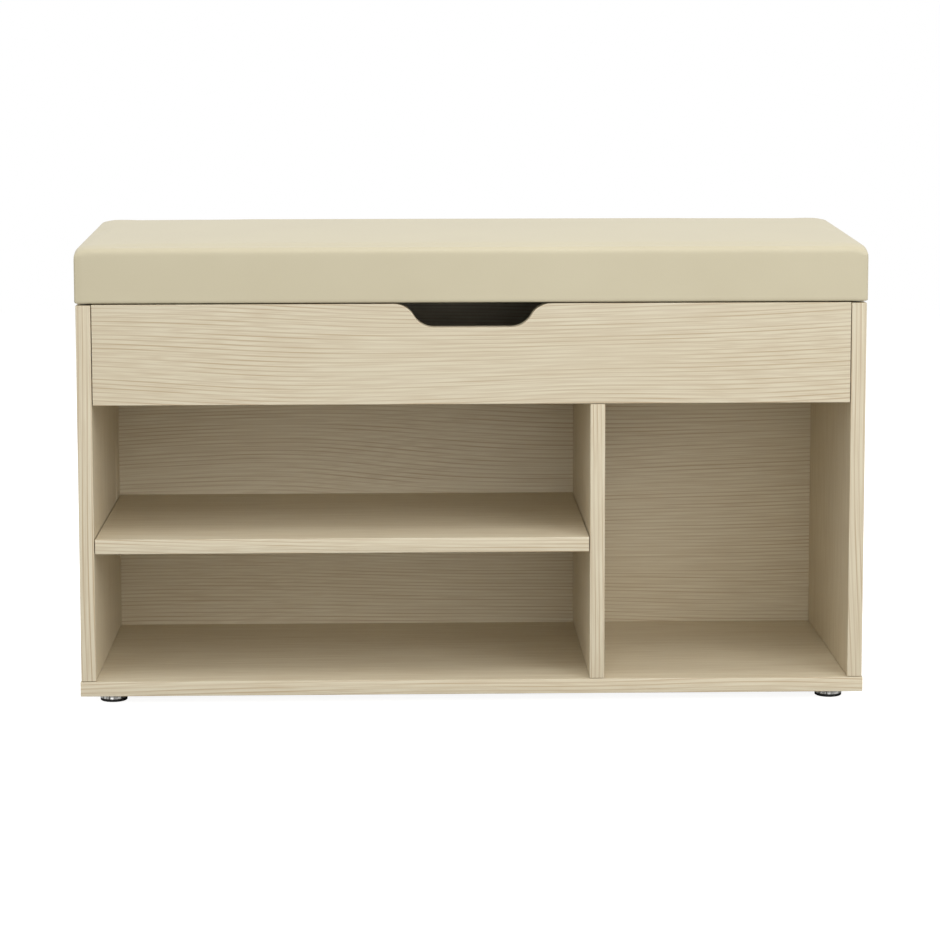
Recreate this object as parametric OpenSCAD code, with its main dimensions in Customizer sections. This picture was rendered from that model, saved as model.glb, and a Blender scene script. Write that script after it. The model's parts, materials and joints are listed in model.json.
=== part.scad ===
// Entryway bench: an open shoe cabinet with a padded flip-up lid over a shallow compartment.
// Origin on the floor under the middle of the bench, +X right, +Y to the back, +Z up.

/* [Overall] */
// Width of the base board
bench_w = 800; // [700:1:1000]
// Depth from the front of the cushion to the back of the hinge knuckles
bench_d = 300; // [280:1:400]
// Height of the underside of the lid over the floor
lid_z = 412.2; // [390:0.1:450]
// Thickness of the laminated boards
board_t = 15; // [15:1:18]

/* [Cabinet] */
// Height of the front apron and of the hinge rail behind it
apron_h = 102; // [90:1:120]
// Centre of the divider, to the right of the middle
divider_x = 127; // [0:1:200]
// Top of the shelf over the floor
shelf_z = 172; // [120:1:220]
// Distance from the front of the base to the front of the back panel
panel_setback = 284.5; // [260:0.5:380]
// Length of the finger cut-out along the top of the apron
cutout_top = 160; // [130:1:200]
// Length of the flat bottom of the finger cut-out
cutout_flat = 77; // [50:1:100]
// Depth of the finger cut-out
cutout_d = 24; // [15:1:30]

/* [Feet] */
// Height of the glides
foot_h = 10; // [8:1:15]
// Diameter of the glides
foot_dia = 28; // [24:1:34]
// Distance from the edges of the base to the middle of a glide
foot_inset = 31; // [25:1:50]

/* [Cushion] */
// Width of the padded lid
lid_w = 801; // [701:1:1001]
// Height of the lid at its front edge
lid_edge_h = 56.5; // [40:0.5:70]
// Extra height of the lid at its back edge
seat_rise = 8.5; // [0:0.5:12]
// Extra height of the cushion in its middle
crown_h = 2.5; // [0:0.5:12]
// Radius of the cushion along its top edges
lid_edge_r = 8; // [4:1:12]

/* [Lid fittings] */
// Opening angle of the lid
lid_open = 85; // [60:1:88]
// Distance from the middle of the bench to the middle of a hinge
hinge_x = 250; // [150:1:320]
// Length of a hinge
hinge_len = 60; // [50:5:80]
// Cabinet pivot of a lid stay, forward of and below the hinge axis
stay_fixed = [30, -55];
// Lid pivot of a lid stay, forward of and below the hinge axis
stay_moving = [75, -9];

/* [Hidden] */
$fn = 48;

maple = "#DCCDB8";
strip_maple = "#E3D6C2";
cream = "#D6CDB2";
steel = "#B9BCC0";
chrome = "#D5D8DB";

// Heights, from the floor up.
base_top = foot_h + board_t;
lid_gap = 1.2;
side_top = lid_z - lid_gap;
apron_z = side_top - apron_h;
floor_top = apron_z + board_t;

// Depths. The hinge knuckles reach the back of the bounding box.
edging_t = 1;
knuckle_r = 3;
knuckle_gap = 0.2;
axis_y = bench_d / 2 - knuckle_r;
axis_z = lid_z - lid_gap / 2;
rear_y = axis_y - knuckle_r - knuckle_gap;
base_front_y = -bench_d / 2 + 0.5;
side_front_y = base_front_y + 0.5;
apron_back_y = side_front_y + board_t;
rail_front_y = rear_y - board_t;
panel_y = base_front_y + panel_setback;
panel_t = 3;
groove_d = 5;
panel_slack = 0.2;

// Widths.
side_out_x = bench_w / 2 - 1;
side_in_x = side_out_x - board_t;
joint_gap = 0.3;

// Fittings.
dowel_r = 4;
dowel_len = 30;
dowel_in = 10;
fit = 0.05;
cam_r = 7.5;
cam_h = 12;
cam_x = 24;
bolt_r = 3;
bolt_in = 10;
screw_ys = [-100, 0, 100];
pin_dowel_ys = [-50, 50];
cam_ys = [-90, 90];
board_dowel_ys = [-55, 55];
upright_z = apron_z + apron_h / 2;
upright_dowel_zs = [upright_z - 28, upright_z + 28];
floor_z = apron_z + board_t / 2;
shelf_mid_z = shelf_z - board_t / 2;
divider_left_x = divider_x - board_t / 2;
apron_mid_y = side_front_y + board_t / 2;
rail_mid_y = rear_y - board_t / 2;

// Hinge and stay.
leaf_t = 1;
pin_r = 1.5;
running = 0.05;
leaf_screw_x = 20;
flat_head_h = 0.4;
cabinet_leaf_w = board_t - 1;
lid_leaf_w = 26;
knuckles = 5;
stay_t = 2;
stay_gap = 0.3;
stay_w = 12;
bar_w = stay_w - 3;
plate_t = 1.5;
pivot_r = 2.5;
stay_elbow = stay_fixed + stay_moving;
lower_x = side_in_x - plate_t - stay_gap - stay_t;
upper_x = lower_x - stay_gap - stay_t;
flange_x = upper_x - stay_gap - plate_t;

// Cushion.
cover_t = 1;
flange_w = 22;
lid_d = rear_y + bench_d / 2;
lid_mid_y = (rear_y - bench_d / 2) / 2;
lid_board_z = lid_z + cover_t;
clear = 0.2;
crown_run = 110;

// A board from corner a to corner b.
module board(a, b) {
    translate(a) cube(b - a);
}

// Everything in both halves: the child is drawn for the right half and mirrored for the left.
module side(s) {
    mirror([s > 0 ? 0 : 1, 0, 0]) children();
}

// A point forward of and above the hinge axis, turned into the bench's own frame.
module at_hinge(p) {
    translate([0, axis_y - p[0], axis_z + p[1]]) children();
}

// ---- Dowels, cams and screws -----------------------------------------------------------

// One dowel along +X, centred on the joint face, 10 mm of it in the panel that is drilled flat.
module dowel(grow = 0) {
    rotate([0, 90, 0])
        translate([0, 0, dowel_in - dowel_len - grow])
            cylinder(r = dowel_r - fit + grow, h = dowel_len + 2 * grow);
}

// All dowels, or their holes.
module dowels(grow = 0) {
    for (s = [-1, 1]) side(s) {
        for (z = upright_dowel_zs, y = [apron_mid_y, rail_mid_y])
            translate([side_in_x, y, z]) dowel(grow);
        for (y = board_dowel_ys) translate([side_in_x, y, floor_z]) dowel(grow);
        for (y = pin_dowel_ys)
            translate([side_in_x + board_t / 2, y, base_top]) rotate([0, 90, 0]) dowel(grow);
    }
    for (y = board_dowel_ys) {
        translate([divider_left_x, y, shelf_mid_z]) dowel(grow);
        translate([-side_in_x, y, shelf_mid_z]) mirror([1, 0, 0]) dowel(grow);
    }
    for (y = pin_dowel_ys) {
        translate([divider_x, y, base_top]) rotate([0, 90, 0]) dowel(grow);
        translate([divider_x, y, apron_z]) rotate([0, -90, 0]) dowel(grow);
    }
}

// Cam joints: each child is drawn with the joint face at x = 0, the panel at x < 0 and the cam
// turned so that it is let in from its panel's hidden face.
module at_cams() {
    for (s = [-1, 1]) side(s) {
        translate([side_in_x, apron_mid_y, upright_z]) rotate([90, 0, 0]) children();
        translate([side_in_x, rail_mid_y, upright_z]) rotate([-90, 0, 0]) children();
        for (y = cam_ys) translate([side_in_x, y, floor_z]) children();
    }
    for (y = cam_ys) {
        translate([divider_left_x, y, shelf_mid_z]) children();
        translate([-side_in_x, y, shelf_mid_z]) mirror([1, 0, 0]) children();
    }
}

// The cam sits in a blind bore open at z = -board_t / 2 and is cut by the bolt's hole.
module cam() {
    difference() {
        translate([-cam_x, 0, -board_t / 2]) cylinder(r = cam_r - fit, h = cam_h);
        translate([-cam_x, 0, 0]) rotate([0, 90, 0]) cylinder(r = bolt_r + 0.3, h = cam_r + 1);
        translate([-cam_x, 0, -board_t / 2]) cube([10, 1.6, 3], center = true);
    }
}

// Turned bolt: a threaded end in the panel, a plain shank, and a head on a neck for the cam.
module cam_bolt() {
    shank_r = 2.5;
    neck_r = 1.8;
    head_r = 2.8;
    tip = -cam_x + 0.5;
    head_h = 2.5;
    neck_h = 2.5;
    rotate([0, 90, 0]) rotate_extrude() polygon([
        [0, tip], [head_r, tip], [head_r, tip + head_h], [neck_r, tip + head_h],
        [neck_r, tip + head_h + neck_h], [shank_r, tip + head_h + neck_h], [shank_r, 0],
        [bolt_r - fit, 0], [bolt_r - fit, bolt_in], [0, bolt_in]]);
}

module cam_holes() {
    at_cams() {
        translate([-cam_x, 0, -board_t / 2 - 1]) cylinder(r = cam_r, h = cam_h + 1.2);
        rotate([0, 90, 0])
            translate([0, 0, -cam_x]) cylinder(r = bolt_r, h = cam_x + bolt_in + clear);
    }
}

// Screws that hold the uprights to the base, driven up from below.
module base_screw(grow = 0) {
    head_r = 5;
    translate([0, 0, foot_h - grow]) cylinder(r = head_r + grow, h = 3 + grow);
    translate([0, 0, foot_h + 3]) cylinder(r = 3.4 + grow, h = board_t - 3);
    translate([0, 0, base_top]) cylinder(r = 2.6 + grow, h = 34 + grow);
}

module base_screw_set(grow = 0) {
    for (x = [-side_in_x - board_t / 2, divider_x, side_in_x + board_t / 2], y = screw_ys)
        translate([x, y, 0]) base_screw(grow);
}

module foot_place(sx, sy) {
    mid_y = (base_front_y + rear_y) / 2;
    half_d = (rear_y - base_front_y) / 2;
    translate([sx * (bench_w / 2 - foot_inset), mid_y + sy * (half_d - foot_inset), 0]) children();
}

module foot_screw(grow = 0) {
    translate([0, 0, 5]) cylinder(r = 3.8 + grow, h = 1.5 + grow);
    translate([0, 0, 6]) cylinder(r = 1.9 + grow, h = 14 + grow);
}

module foot_screw_set(grow = 0) {
    for (sx = [-1, 1], sy = [-1, 1]) foot_place(sx, sy) foot_screw(grow);
}

// ---- Boards ----------------------------------------------------------------------------

module base_panel() color(maple) difference() {
    board([-bench_w / 2, base_front_y + edging_t, foot_h], [bench_w / 2, rear_y, base_top]);
    back_panel_groove();
    base_screw_set(fit);
    foot_screw_set(fit);
    dowels(fit);
}

module side_panel(s) color(maple) difference() {
    side(s) board([side_in_x, side_front_y + edging_t, base_top], [side_out_x, rear_y, side_top]);
    back_panel_groove();
    base_screw_set(fit);
    dowels(fit);
    cam_holes();
    stay_side_screw_set(fit);
}

module divider_panel() color(maple) difference() {
    board([divider_left_x, side_front_y + edging_t, base_top],
          [divider_left_x + board_t, panel_y - joint_gap, apron_z]);
    base_screw_set(fit);
    dowels(fit);
    cam_holes();
}

module fixed_shelf() color(maple) difference() {
    board([-side_in_x + joint_gap, side_front_y + edging_t, shelf_z - board_t],
          [divider_left_x - joint_gap, panel_y - joint_gap, shelf_z]);
    dowels(fit);
    cam_holes();
}

module compartment_floor() color(maple) difference() {
    board([-side_in_x, apron_back_y, apron_z], [side_in_x, rail_front_y, floor_top]);
    dowels(fit);
    cam_holes();
}

module hinge_rail() color(maple) difference() {
    board([-side_in_x, rail_front_y, apron_z], [side_in_x, rear_y, side_top]);
    back_panel_groove();
    dowels(fit);
    cam_holes();
    for (s = [-1, 1])
        board([s * hinge_x - hinge_len / 2 - clear, rear_y - cabinet_leaf_w - clear, side_top - leaf_t],
              [s * hinge_x + hinge_len / 2 + clear, rear_y + 1, side_top + 1]);
    hinge_rail_screw_set(fit);
}

// Finger cut-out in the apron's top edge, grown outwards by e. Each end is an S of two equal
// arcs: one rounds the apron's corner, the other runs into the flat bottom.
module cutout_2d(e = 0) {
    run = (cutout_top - cutout_flat) / 2;
    turn = 2 * atan(cutout_d / run);
    r = run / (2 * sin(turn));
    low = [cutout_flat / 2, r - cutout_d];
    high = [cutout_top / 2, -r];
    steps = 14;
    end = concat(
        [for (i = [0 : steps]) low + (r + e) * [sin(turn * i / steps), -cos(turn * i / steps)]],
        [for (i = [steps - 1 : -1 : 0])
            high + (r - e) * [-sin(turn * i / steps), cos(turn * i / steps)]],
        [[high[0], 1]]);
    polygon(concat(end, [for (i = [len(end) - 1 : -1 : 0]) [-end[i][0], end[i][1]]]));
}

// The apron's outline below its top edge, lowered by e.
module apron_2d(e = 0) {
    w = 2 * (side_in_x - joint_gap);
    difference() {
        translate([-w / 2, -apron_h]) square([w, apron_h - e]);
        cutout_2d(e);
    }
}

module apron_solid(e) {
    translate([0, apron_back_y, side_top])
        rotate([90, 0, 0]) linear_extrude(board_t) apron_2d(e);
}

module front_apron() color(maple) difference() {
    apron_solid(edging_t);
    dowels(fit);
    cam_holes();
}

module apron_edging() color(strip_maple) translate([0, apron_back_y, side_top])
    rotate([90, 0, 0]) linear_extrude(board_t) difference() {
        apron_2d(0);
        apron_2d(edging_t);
        translate([-bench_w / 2, -apron_h - 1]) square([bench_w, apron_h - cutout_d - edging_t]);
    }

// The back panel runs in grooves in the sides, the base and the hinge rail.
module back_panel() color("#CFC1AC")
    board([-side_in_x - groove_d + panel_slack, panel_y, base_top - groove_d + panel_slack],
          [side_in_x + groove_d - panel_slack, panel_y + panel_t, apron_z + groove_d - panel_slack]);

module back_panel_groove()
    board([-side_in_x - groove_d, panel_y - panel_slack / 2, base_top - groove_d],
          [side_in_x + groove_d, panel_y + panel_t + panel_slack / 2, apron_z + groove_d]);

// Edging strips glued to the front edges.
module base_edging() color(strip_maple)
    board([-bench_w / 2, base_front_y, foot_h], [bench_w / 2, base_front_y + edging_t, base_top]);

module side_edging(s) color(strip_maple) side(s)
    board([side_in_x, side_front_y, base_top], [side_out_x, side_front_y + edging_t, side_top]);

module divider_edging() color(strip_maple)
    board([divider_left_x, side_front_y, base_top],
          [divider_left_x + board_t, side_front_y + edging_t, apron_z]);

module shelf_edging() color(strip_maple)
    board([-side_in_x + joint_gap, side_front_y, shelf_z - board_t],
          [divider_left_x - joint_gap, side_front_y + edging_t, shelf_z]);

// ---- Feet ------------------------------------------------------------------------------

// Pressed cap, open below, that holds the rubber pad.
module foot_cap(sx, sy) color(chrome) foot_place(sx, sy) difference() {
    rotate_extrude($fn = 96) polygon([[0, 2.4], [foot_dia / 2 - 0.6, 2.4], [foot_dia / 2, 3],
        [foot_dia / 2, foot_h - 1.2], [foot_dia / 2 - 1.2, foot_h], [0, foot_h]]);
    translate([0, 0, 1]) cylinder(r = foot_dia / 2 - 2, h = 4);
    foot_screw(fit);
}

module foot_pad(sx, sy) color("#1E1E1F") foot_place(sx, sy) {
    rotate_extrude($fn = 96) polygon([[0, 0], [foot_dia / 2 - 0.8, 0], [foot_dia / 2 - 0.2, 0.6],
        [foot_dia / 2 - 0.2, 2.3], [0, 2.3]]);
    cylinder(r = foot_dia / 2 - 2.2, h = 4.8);
}

module foot_screws() color(steel) foot_screw_set();

module base_screws() color(steel) base_screw_set();

module cam_locks() color(steel) at_cams() cam();

module cam_bolts() color(steel) at_cams() cam_bolt();

module wood_dowels() color("#C9A878") dowels();

// Clear buffers on top of the sides that the lid closes on.
module lid_bumpers() color("#EDEDED")
    for (s = [-1, 1], y = [side_front_y + 14, rear_y - 60])
        translate([s * (side_in_x + board_t / 2), y, side_top]) cylinder(r = 4, h = lid_gap - 0.1);

// ---- Hinges ----------------------------------------------------------------------------

// Knuckles along X: start gives the first, every second one follows.
module knuckle_row(start, hole_r, tongue_z, leaf_w) {
    pitch = hinge_len / knuckles;
    difference() {
        union() {
            for (k = [start : 2 : knuckles - 1])
                translate([k * pitch - hinge_len / 2 + knuckle_gap / 2, 0, 0]) {
                    translate([0, axis_y, axis_z]) rotate([0, 90, 0])
                        cylinder(r = knuckle_r, h = pitch - knuckle_gap);
                    board([0, rear_y - 1, tongue_z], [pitch - knuckle_gap, axis_y, tongue_z + leaf_t]);
                }
            board([-hinge_len / 2, rear_y - leaf_w, tongue_z],
                  [hinge_len / 2, rear_y - knuckle_gap, tongue_z + leaf_t]);
        }
        translate([-hinge_len, axis_y, axis_z]) rotate([0, 90, 0])
            cylinder(r = hole_r, h = 2 * hinge_len);
    }
}

module hinge_cabinet_leaf(s) color(steel) difference() {
    translate([s * hinge_x, 0, 0])
        knuckle_row(0, pin_r + 0.02, side_top - leaf_t, cabinet_leaf_w);
    hinge_rail_screw_set(fit);
}

module hinge_lid_leaf(s) color(steel) difference() {
    translate([s * hinge_x, 0, 0]) knuckle_row(1, pin_r + running, lid_z, lid_leaf_w);
    hinge_lid_screw_set(fit);
}

module hinge_pin(s) color(steel)
    translate([s * hinge_x - hinge_len / 2, axis_y, axis_z]) rotate([0, 90, 0])
        cylinder(r = pin_r, h = hinge_len);

// Flat-headed wood screw along +Z, with the underside of its head at z = 0.
module wood_screw(len, grow = 0) {
    translate([0, 0, -flat_head_h - grow]) cylinder(r = 3 + grow, h = flat_head_h + grow);
    cylinder(r = 1.6 + grow, h = len + grow);
}

module hinge_rail_screw_set(grow = 0) {
    for (s = [-1, 1], x = [-leaf_screw_x, leaf_screw_x])
        translate([s * hinge_x + x, rear_y - board_t / 2, side_top]) mirror([0, 0, 1])
            wood_screw(16, grow);
}

module hinge_lid_screw_set(grow = 0) {
    for (s = [-1, 1], x = [-leaf_screw_x, leaf_screw_x])
        translate([s * hinge_x + x, rear_y - lid_leaf_w + 5, lid_z]) wood_screw(12, grow);
}

module hinge_rail_screws() color(steel) hinge_rail_screw_set();

module hinge_lid_screws() color(steel) hinge_lid_screw_set();

// ---- Lid stays -------------------------------------------------------------------------
// The hinge axis and a stay's three pivots are the corners of a parallelogram, so the lower
// arm always lies parallel to the lid and the upper arm keeps its direction as the lid turns.

// A flat arm with a round eye at each pivot, a and b, from x to x + stay_t.
module stay_arm(a, b, x, hole_a, hole_b) {
    v = b - a;
    difference() {
        translate([x, 0, 0]) {
            for (p = [a, b]) at_hinge(p) rotate([0, 90, 0]) cylinder(r = stay_w / 2, h = stay_t);
            at_hinge(a) rotate([180 - atan2(v[1], v[0]), 0, 0])
                translate([0, 0, -bar_w / 2]) cube([stay_t, norm(v), bar_w]);
        }
        at_hinge(a) translate([x - 1, 0, 0]) rotate([0, 90, 0]) cylinder(r = hole_a, h = stay_t + 2);
        at_hinge(b) translate([x - 1, 0, 0]) rotate([0, 90, 0]) cylinder(r = hole_b, h = stay_t + 2);
    }
}

module stay_lower_arm(s) color(steel) side(s)
    stay_arm(stay_fixed, stay_elbow, lower_x, pivot_r + running, pivot_r + 0.02);

module stay_upper_arm(s) color(steel) side(s)
    stay_arm(stay_elbow, stay_moving, upper_x, pivot_r + running, pivot_r + stay_gap);

// Rivet along X through both arms, with a head at each end.
module stay_elbow_rivet(s) color(steel) side(s) at_hinge(stay_elbow) {
    rivet_in = upper_x - clear - 1;
    translate([rivet_in, 0, 0]) rotate([0, 90, 0]) cylinder(r = 4, h = 1);
    translate([rivet_in, 0, 0]) rotate([0, 90, 0])
        cylinder(r = pivot_r, h = lower_x + stay_t - rivet_in);
    translate([lower_x + stay_t, 0, 0]) rotate([0, 90, 0]) cylinder(r = 4, h = 1);
}

// Plate on the side panel with the fixed pivot and the stop that the lower arm meets when open.
module stay_side_bracket(s) color(steel) side(s) difference() {
    arm_turn = atan2(stay_moving[1], stay_moving[0]) + lid_open;
    along = [cos(arm_turn), sin(arm_turn)];
    across = [-sin(arm_turn), cos(arm_turn)];
    stop_r = 2;
    stop = stay_fixed + 22 * along + (bar_w / 2 + stay_gap + stop_r) * across;
    head_x = lower_x - clear - 1;
    union() {
        at_hinge(stay_fixed) translate([side_in_x - plate_t, -8, -12]) cube([plate_t, 18, 52]);
        at_hinge(stay_fixed) translate([head_x, 0, 0]) rotate([0, 90, 0]) cylinder(r = 4, h = 1);
        at_hinge(stay_fixed) translate([head_x, 0, 0]) rotate([0, 90, 0])
            cylinder(r = pivot_r, h = side_in_x - head_x);
        at_hinge(stop) translate([lower_x, 0, 0]) rotate([0, 90, 0])
            cylinder(r = stop_r, h = side_in_x - lower_x);
    }
    stay_side_screw_set(fit);
}

// Their heads are sunk flush, so that the arm swings past them.
module stay_side_screw_set(grow = 0) {
    for (s = [-1, 1], dz = [-8, 34])
        side(s) at_hinge(stay_fixed) translate([side_in_x - plate_t + flat_head_h, -2, dz])
            rotate([0, 90, 0]) wood_screw(12, grow);
}

// Angle under the lid whose flange carries the moving pivot.
module stay_lid_bracket(s) color(steel) difference() {
    side(s) {
        at_hinge(stay_moving) rotate([0, 90, 0]) translate([0, 0, flange_x])
            cylinder(r = stay_w / 2 + 1, h = plate_t);
        board([flange_x, axis_y - stay_moving[0] - 15, lid_z - plate_t],
              [flange_x + plate_t, axis_y - stay_moving[0] + 15, lid_z]);
        board([flange_x, axis_y - stay_moving[0] - 7, axis_z + stay_moving[1]],
              [flange_x + plate_t, axis_y - stay_moving[0] + 7, lid_z]);
        board([flange_x - 20, axis_y - stay_moving[0] - 15, lid_z - plate_t],
              [flange_x + plate_t, axis_y - stay_moving[0] + 15, lid_z]);
        at_hinge(stay_moving) rotate([0, 90, 0]) translate([0, 0, flange_x])
            cylinder(r = pivot_r, h = upper_x + stay_t - flange_x);
    }
    stay_lid_screw_set(fit);
}

module stay_lid_screw_set(grow = 0) {
    for (s = [-1, 1], dy = [-9, 9])
        side(s) translate([flange_x - 10, axis_y - stay_moving[0] + dy, lid_z - plate_t])
            wood_screw(13, grow);
}

module stay_side_screws() color(steel) stay_side_screw_set();

module stay_lid_screws() color(steel) stay_lid_screw_set();

// ---- Padded lid ------------------------------------------------------------------------

// Outline across the cushion, half as wide as half: upright sides, eased top edges, a raised
// middle. Its second side stands higher by rise.
module cushion_outline(half, e, bottom, rise = 0) {
    w = half - e;
    top = lid_z + lid_edge_h - e;
    flat_w = w - lid_edge_r;
    crown_x = flat_w - crown_run;
    lift = rise * crown_run / (2 * flat_w);
    ease = [for (a = [0 : 22.5 : 90])
        [flat_w + lid_edge_r * cos(a), top - lid_edge_r * (1 - sin(a))]];
    polygon(concat(
        [[-w, bottom]],
        [for (i = [0 : len(ease) - 1]) [-ease[i][0], ease[i][1]]],
        [[-crown_x, top + crown_h + lift], [crown_x, top + crown_h + rise - lift]],
        [for (i = [len(ease) - 1 : -1 : 0]) [ease[i][0], ease[i][1] + rise]],
        [[w, bottom]]));
}

// The cushion's outer form, shrunk by e all round: where the plan, the outline along the bench,
// which follows the rise of the seat, and the outline across it meet.
module cushion_form(e, bottom) {
    corner_r = 9 - e;
    front = [0, -lid_d / 2 + lid_edge_r, lid_z + lid_edge_h];
    translate([0, lid_mid_y, 0]) intersection() {
        linear_extrude(2 * lid_z) {
            square([lid_w - 2 * e - 2 * corner_r, lid_d - 2 * e], center = true);
            square([lid_w - 2 * e, lid_d - 2 * e - 2 * corner_r], center = true);
            for (sx = [-1, 1], sy = [-1, 1])
                translate([sx * (lid_w / 2 - e - corner_r), sy * (lid_d / 2 - e - corner_r)])
                    circle(r = corner_r);
        }
        translate(front) rotate([atan(seat_rise / (lid_d - 2 * lid_edge_r)), 0, 0]) translate(-front)
            rotate([90, 0, 0]) linear_extrude(2 * lid_d, center = true)
                cushion_outline(lid_w / 2, e, lid_z - lid_d);
        rotate([90, 0, 90]) linear_extrude(2 * lid_w, center = true)
            cushion_outline(lid_d / 2, e, bottom, seat_rise);
    }
}

module lid_board() color("#C8AE84") difference() {
    inset = cover_t + clear;
    board([-lid_w / 2 + inset, -bench_d / 2 + inset, lid_board_z],
          [lid_w / 2 - inset, rear_y - inset, lid_board_z + board_t]);
    for (sx = [-1, 1], sy = [-1, 1])
        translate([sx * lid_w / 2, lid_mid_y + sy * lid_d / 2, lid_board_z - 1])
            rotate([0, 0, 45]) cube([16, 16, 3 * board_t], center = true);
    hinge_lid_screw_set(fit);
    stay_lid_screw_set(fit);
}

module foam_pad() color("#E8DFA8")
    cushion_form(cover_t + clear + 0.1, lid_board_z + board_t);

// Sewn cover, turned under the board by the width of its flange.
module seat_cover() color(cream) difference() {
    cushion_form(0, lid_z);
    cushion_form(cover_t, lid_board_z);
    board([-lid_w / 2 + flange_w, -bench_d / 2 + flange_w, lid_z - 1],
          [lid_w / 2 - flange_w, rear_y - flange_w, lid_board_z + 1]);
    for (s = [-1, 1])
        board([s * hinge_x - hinge_len / 2 - clear, rear_y - lid_leaf_w - 1, lid_z - 1],
              [s * hinge_x + hinge_len / 2 + clear, rear_y + 1, lid_board_z + 0.3]);
}

// Woven lining stapled inside the flange, cut out round the hinges.
module lid_lining() color("#2A2522") difference() {
    gap = flange_w + 0.5;
    board([-lid_w / 2 + gap, -bench_d / 2 + gap, lid_z + 0.2],
          [lid_w / 2 - gap, rear_y - gap, lid_board_z]);
    for (s = [-1, 1])
        board([s * hinge_x - hinge_len / 2 - 1, rear_y - lid_leaf_w - 1, lid_z - 1],
              [s * hinge_x + hinge_len / 2 + 1, rear_y, lid_board_z + 1]);
    stay_lid_screw_set(0.4);
}

// One staple: a 10 mm crown under the flange and two legs in the board.
module staple() {
    wire = 0.6;
    crown_w = 10;
    leg = 6;
    translate([-crown_w / 2, -wire / 2, -0.4]) cube([crown_w, wire, 0.4]);
    for (x = [-crown_w / 2, crown_w / 2 - wire])
        translate([x, -wire / 2, 0]) cube([wire, wire, leg]);
}

module cover_staples() color(steel) {
    inset = 15;
    for (x = [-360 : 40 : 360], sy = [-1, 1])
        if (sy < 0 || abs(abs(x) - hinge_x) > hinge_len / 2 + 8)
            translate([x, lid_mid_y + sy * (lid_d / 2 - inset), lid_z]) staple();
    for (y = [-80 : 32 : 80], s = [-1, 1])
        translate([s * (lid_w / 2 - inset), lid_mid_y + y, lid_z]) rotate([0, 0, 90]) staple();
}

base_panel();
side_panel(-1);  // left_side_panel
side_panel(1);  // right_side_panel
divider_panel();
fixed_shelf();
front_apron();
compartment_floor();
hinge_rail();
back_panel();
base_edging();
side_edging(-1);  // left_side_edging
side_edging(1);  // right_side_edging
divider_edging();
shelf_edging();
apron_edging();
foot_cap(-1, -1);  // front_left_foot_cap
foot_cap(1, -1);  // front_right_foot_cap
foot_cap(-1, 1);  // rear_left_foot_cap
foot_cap(1, 1);  // rear_right_foot_cap
foot_pad(-1, -1);  // front_left_foot_pad
foot_pad(1, -1);  // front_right_foot_pad
foot_pad(-1, 1);  // rear_left_foot_pad
foot_pad(1, 1);  // rear_right_foot_pad
foot_screws();
base_screws();
cam_locks();
cam_bolts();
wood_dowels();
lid_bumpers();
hinge_cabinet_leaf(-1);  // left_hinge_cabinet_leaf
hinge_cabinet_leaf(1);  // right_hinge_cabinet_leaf
hinge_pin(-1);  // left_hinge_pin
hinge_pin(1);  // right_hinge_pin
hinge_rail_screws();
stay_side_bracket(-1);  // left_stay_side_bracket
stay_side_bracket(1);  // right_stay_side_bracket
stay_side_screws();
lid_board();
foam_pad();
seat_cover();
lid_lining();
cover_staples();
hinge_lid_leaf(-1);  // left_hinge_lid_leaf
hinge_lid_leaf(1);  // right_hinge_lid_leaf
hinge_lid_screws();
stay_lid_bracket(-1);  // left_stay_lid_bracket
stay_lid_bracket(1);  // right_stay_lid_bracket
stay_lid_screws();
stay_lower_arm(-1);  // left_stay_lower_arm
stay_lower_arm(1);  // right_stay_lower_arm
stay_elbow_rivet(-1);  // left_stay_elbow_rivet
stay_elbow_rivet(1);  // right_stay_elbow_rivet
stay_upper_arm(-1);  // left_stay_upper_arm
stay_upper_arm(1);  // right_stay_upper_arm
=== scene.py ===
# Entryway bench: an open shoe cabinet in pale maple laminate, under a padded flip-up lid.
import math

import bmesh
import bpy
import json
from mathutils import Matrix, Vector

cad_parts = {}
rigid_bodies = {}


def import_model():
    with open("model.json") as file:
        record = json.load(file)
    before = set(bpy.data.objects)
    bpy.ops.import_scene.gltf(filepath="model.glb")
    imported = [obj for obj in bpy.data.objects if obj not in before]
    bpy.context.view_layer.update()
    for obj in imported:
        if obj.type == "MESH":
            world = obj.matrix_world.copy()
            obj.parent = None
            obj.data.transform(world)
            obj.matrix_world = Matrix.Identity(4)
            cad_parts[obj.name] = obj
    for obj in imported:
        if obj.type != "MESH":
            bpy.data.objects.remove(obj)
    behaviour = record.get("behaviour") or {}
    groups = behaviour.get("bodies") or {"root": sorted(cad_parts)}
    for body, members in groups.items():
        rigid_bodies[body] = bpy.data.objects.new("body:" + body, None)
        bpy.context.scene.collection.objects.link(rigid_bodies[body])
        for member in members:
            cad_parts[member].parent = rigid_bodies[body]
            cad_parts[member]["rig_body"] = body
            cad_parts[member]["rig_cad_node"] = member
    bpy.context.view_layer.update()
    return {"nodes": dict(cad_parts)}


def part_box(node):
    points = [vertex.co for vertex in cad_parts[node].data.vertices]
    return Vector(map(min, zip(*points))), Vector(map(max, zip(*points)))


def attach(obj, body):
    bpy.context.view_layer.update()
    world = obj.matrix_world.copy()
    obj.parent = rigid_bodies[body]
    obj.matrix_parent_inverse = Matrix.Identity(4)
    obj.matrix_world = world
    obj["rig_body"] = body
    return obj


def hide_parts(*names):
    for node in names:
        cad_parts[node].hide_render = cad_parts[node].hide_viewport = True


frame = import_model()


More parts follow.
